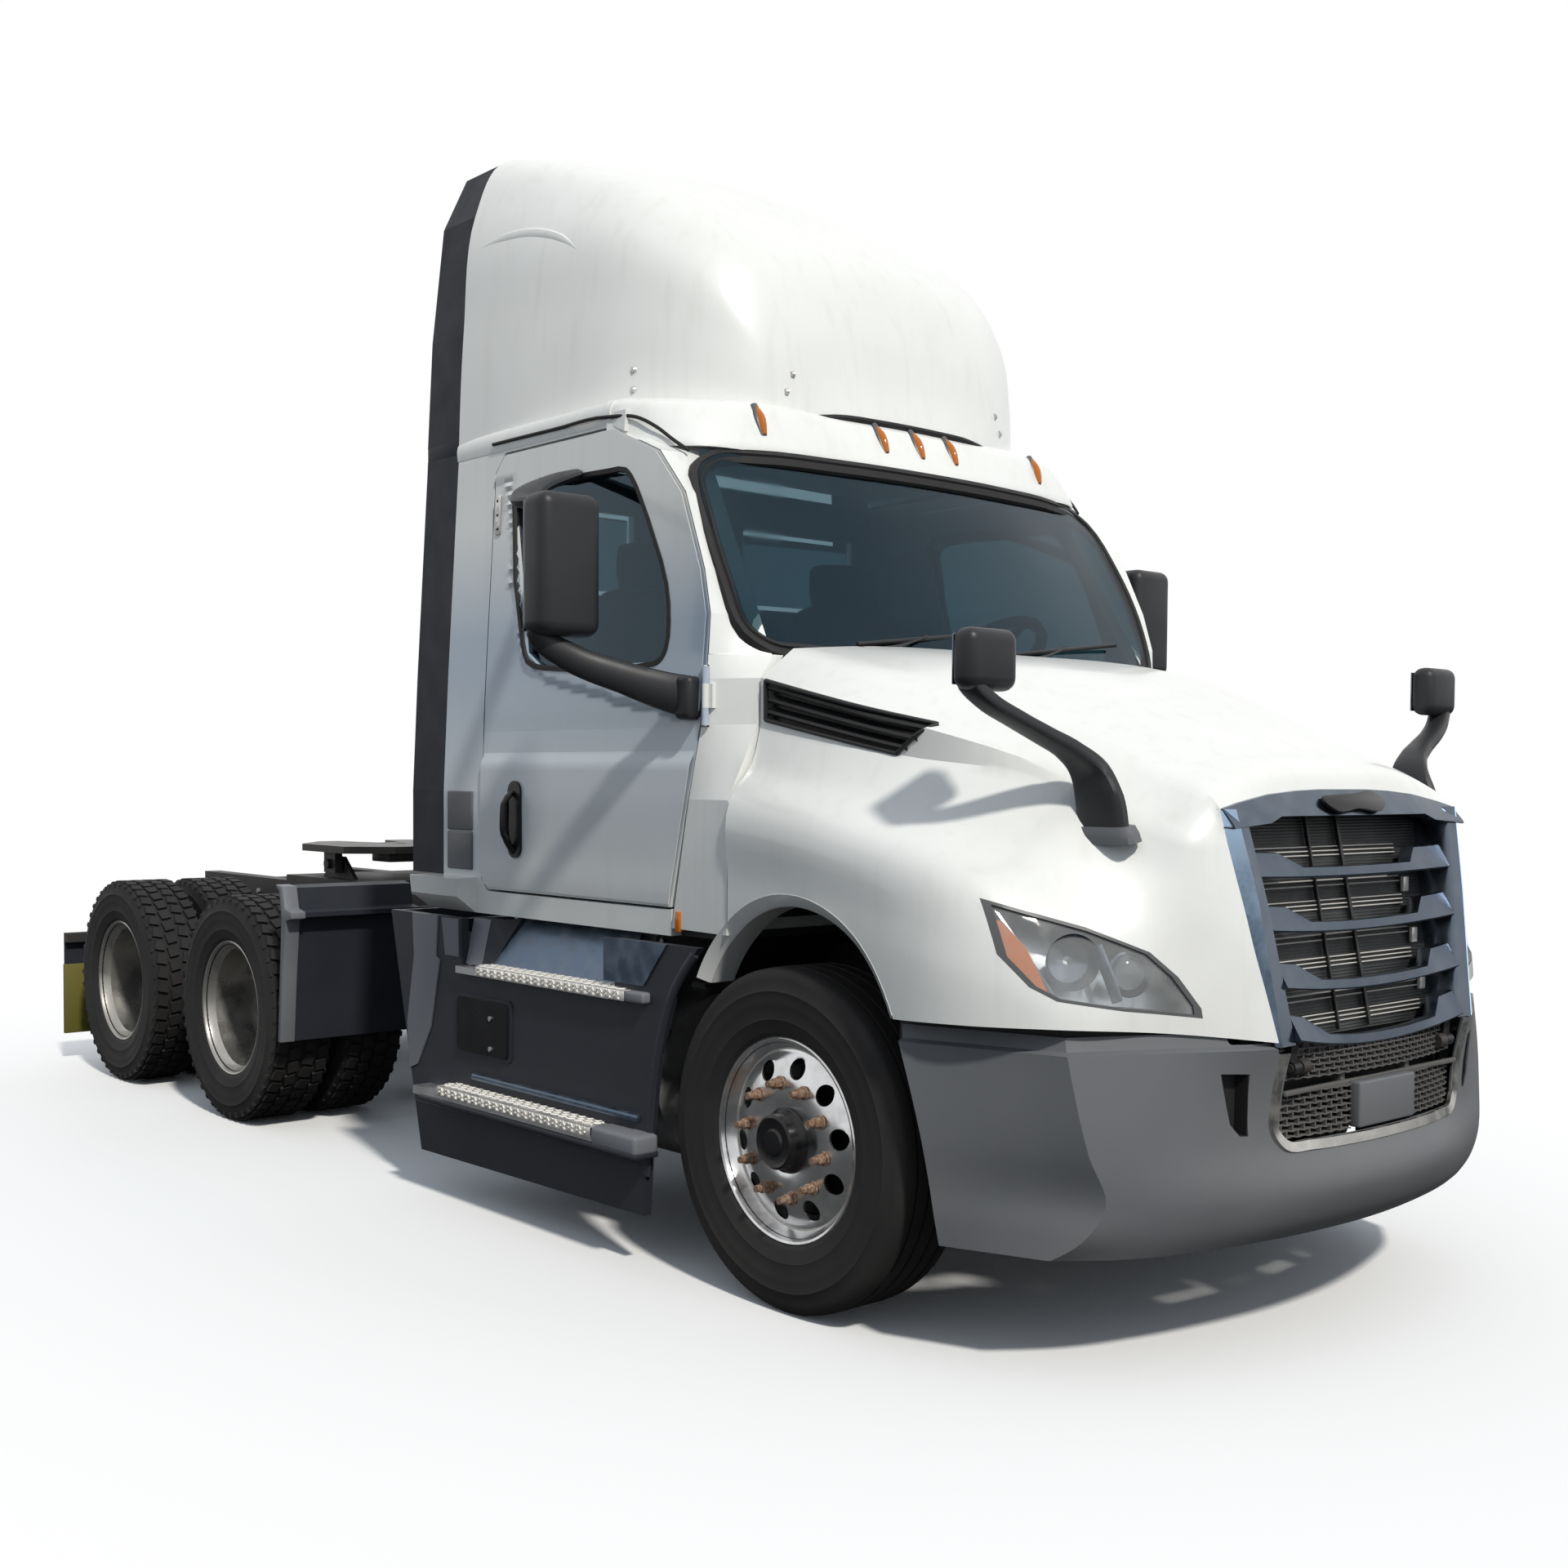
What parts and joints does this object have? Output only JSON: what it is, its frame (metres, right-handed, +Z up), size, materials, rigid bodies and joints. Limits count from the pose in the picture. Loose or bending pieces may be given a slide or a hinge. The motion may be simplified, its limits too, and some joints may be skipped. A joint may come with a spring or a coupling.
{
  "type": "day-cab semi truck tractor unit",
  "caption": "Conventional day-cab semi truck tractor with roof fairing, tandem drive axles, fifth wheel, opening doors, tilting hood and steered front wheels.",
  "frame": {"origin": "on the floor under the middle of the overall length", "axes": "+X forward, +Y to the driver's left, +Z up"},
  "size_m": [7.14, 3.1, 3.9499],
  "materials": {
    "white_paint": "gloss",
    "frame_paint": "satin",
    "cast_black": "satin",
    "brushed_aluminium": "satin",
    "polished_aluminium": "polished",
    "chrome_trim": "polished",
    "grey_plastic": "matte",
    "dark_plastic": "matte",
    "black_plastic": "matte",
    "tyre_rubber": "matte",
    "soft_rubber": "matte",
    "cab_glass": "clear",
    "lamp_lens": "clear",
    "amber_lens": "gloss",
    "seat_fabric": "matte"
  },
  "bodies": {
    "chassis": {"frame_rail_right": "frame_paint", "frame_rail_left": "frame_paint", "crossmembers": "frame_paint", "front_axle_beam": "cast_black", "suspension": "cast_black", "air_springs": "soft_rubber", "driveline": "cast_black", "engine_block": "cast_black", "radiator": "dark_plastic", "fuel_tanks": "brushed_aluminium", "step_skirts": "dark_plastic", "tread_plates": "brushed_aluminium", "front_bumper": "grey_plastic", "bumper_mesh": "black_plastic", "mud_guards": "dark_plastic", "fifth_wheel_mount": "cast_black", "cab_floor": "dark_plastic", "cab_back_wall": "white_paint", "cab_sides": "white_paint", "cab_roof": "white_paint", "cab_cowl": "white_paint", "cab_glass": "cab_glass", "roof_fairing": "white_paint", "rear_extenders": "black_plastic", "marker_lamps": "amber_lens", "seats": "seat_fabric", "dashboard": "dark_plastic"},
    "hood": {"hood_shell": "white_paint", "grille_frame": "chrome_trim", "grille_mesh": "black_plastic", "headlamps": "lamp_lens", "hood_vents": "black_plastic", "hood_mirrors": "black_plastic"},
    "door_right": {"door_right": "white_paint", "door_glass_right": "cab_glass", "mirror_right": "black_plastic"},
    "door_left": {"door_left": "white_paint", "door_glass_left": "cab_glass", "mirror_left": "black_plastic"},
    "knuckle_right": {"knuckle_right": "cast_black"},
    "knuckle_left": {"knuckle_left": "cast_black"},
    "tie_rod": {"tie_rod": "cast_black"},
    "fifth_wheel_plate": {"fifth_wheel_plate": "cast_black"},
    "front_wheel_right": {"front_tyre_right": "tyre_rubber", "front_rim_right": "polished_aluminium"},
    "front_wheel_left": {"front_tyre_left": "tyre_rubber", "front_rim_left": "polished_aluminium"},
    "front_drive_wheels_right": {"front_drive_tyres_right": "tyre_rubber", "front_drive_rims_right": "polished_aluminium"},
    "front_drive_wheels_left": {"front_drive_tyres_left": "tyre_rubber", "front_drive_rims_left": "polished_aluminium"},
    "rear_drive_wheels_right": {"rear_drive_tyres_right": "tyre_rubber", "rear_drive_rims_right": "polished_aluminium"},
    "rear_drive_wheels_left": {"rear_drive_tyres_left": "tyre_rubber", "rear_drive_rims_left": "polished_aluminium"}
  },
  "joints": [
    {"name": "hood_tilt", "type": "hinge", "parent": "chassis", "child": "hood", "pos_m": [3.485, 0, 0.8], "axis": [0, 1, 0], "range_deg": [0, 75]},
    {"name": "door_right_swing", "type": "hinge", "parent": "chassis", "child": "door_right", "pos_m": [1.872, -1.118, 1.8], "axis": [0, 0, 1], "range_deg": [0, 70]},
    {"name": "door_left_swing", "type": "hinge", "parent": "chassis", "child": "door_left", "pos_m": [1.872, 1.118, 1.8], "axis": [0, 0, -1], "range_deg": [0, 70]},
    {"name": "steer_right", "type": "hinge", "parent": "chassis", "child": "knuckle_right", "pos_m": [2.27, -0.925, 0.505], "axis": [0, 0, 1], "range_deg": [-36, 36]},
    {"name": "steer_left", "type": "hinge", "parent": "chassis", "child": "knuckle_left", "pos_m": [2.27, 0.925, 0.505], "axis": [0, 0, 1], "range_deg": [-36, 36]},
    {"name": "tie_rod_pivot", "type": "hinge", "parent": "knuckle_right", "child": "tie_rod", "pos_m": [2.09, -0.925, 0.37], "axis": [0, 0, 1], "range_deg": [-36, 36]},
    {"name": "fifth_wheel_tilt", "type": "hinge", "parent": "chassis", "child": "fifth_wheel_plate", "pos_m": [-2.06, 0, 1.105], "axis": [0, 1, 0], "range_deg": [-12, 12]},
    {"name": "front_wheel_right_spin", "type": "hinge", "parent": "knuckle_right", "child": "front_wheel_right", "pos_m": [2.27, -1.015, 0.505], "axis": [0, 1, 0], "continuous": true},
    {"name": "front_wheel_left_spin", "type": "hinge", "parent": "knuckle_left", "child": "front_wheel_left", "pos_m": [2.27, 1.015, 0.505], "axis": [0, 1, 0], "continuous": true},
    {"name": "front_drive_wheels_right_spin", "type": "hinge", "parent": "chassis", "child": "front_drive_wheels_right", "pos_m": [-1.456, -0.8945, 0.505], "axis": [0, 1, 0], "continuous": true},
    {"name": "front_drive_wheels_left_spin", "type": "hinge", "parent": "chassis", "child": "front_drive_wheels_left", "pos_m": [-1.456, 0.8945, 0.505], "axis": [0, 1, 0], "continuous": true},
    {"name": "rear_drive_wheels_right_spin", "type": "hinge", "parent": "chassis", "child": "rear_drive_wheels_right", "pos_m": [-2.777, -0.8945, 0.505], "axis": [0, 1, 0], "continuous": true},
    {"name": "rear_drive_wheels_left_spin", "type": "hinge", "parent": "chassis", "child": "rear_drive_wheels_left", "pos_m": [-2.777, 0.8945, 0.505], "axis": [0, 1, 0], "continuous": true}
  ],
  "couplings": [
    {"joint": "steer_left", "follows": "steer_right", "ratio": 1},
    {"joint": "tie_rod_pivot", "follows": "steer_right", "ratio": -1}
  ]
}
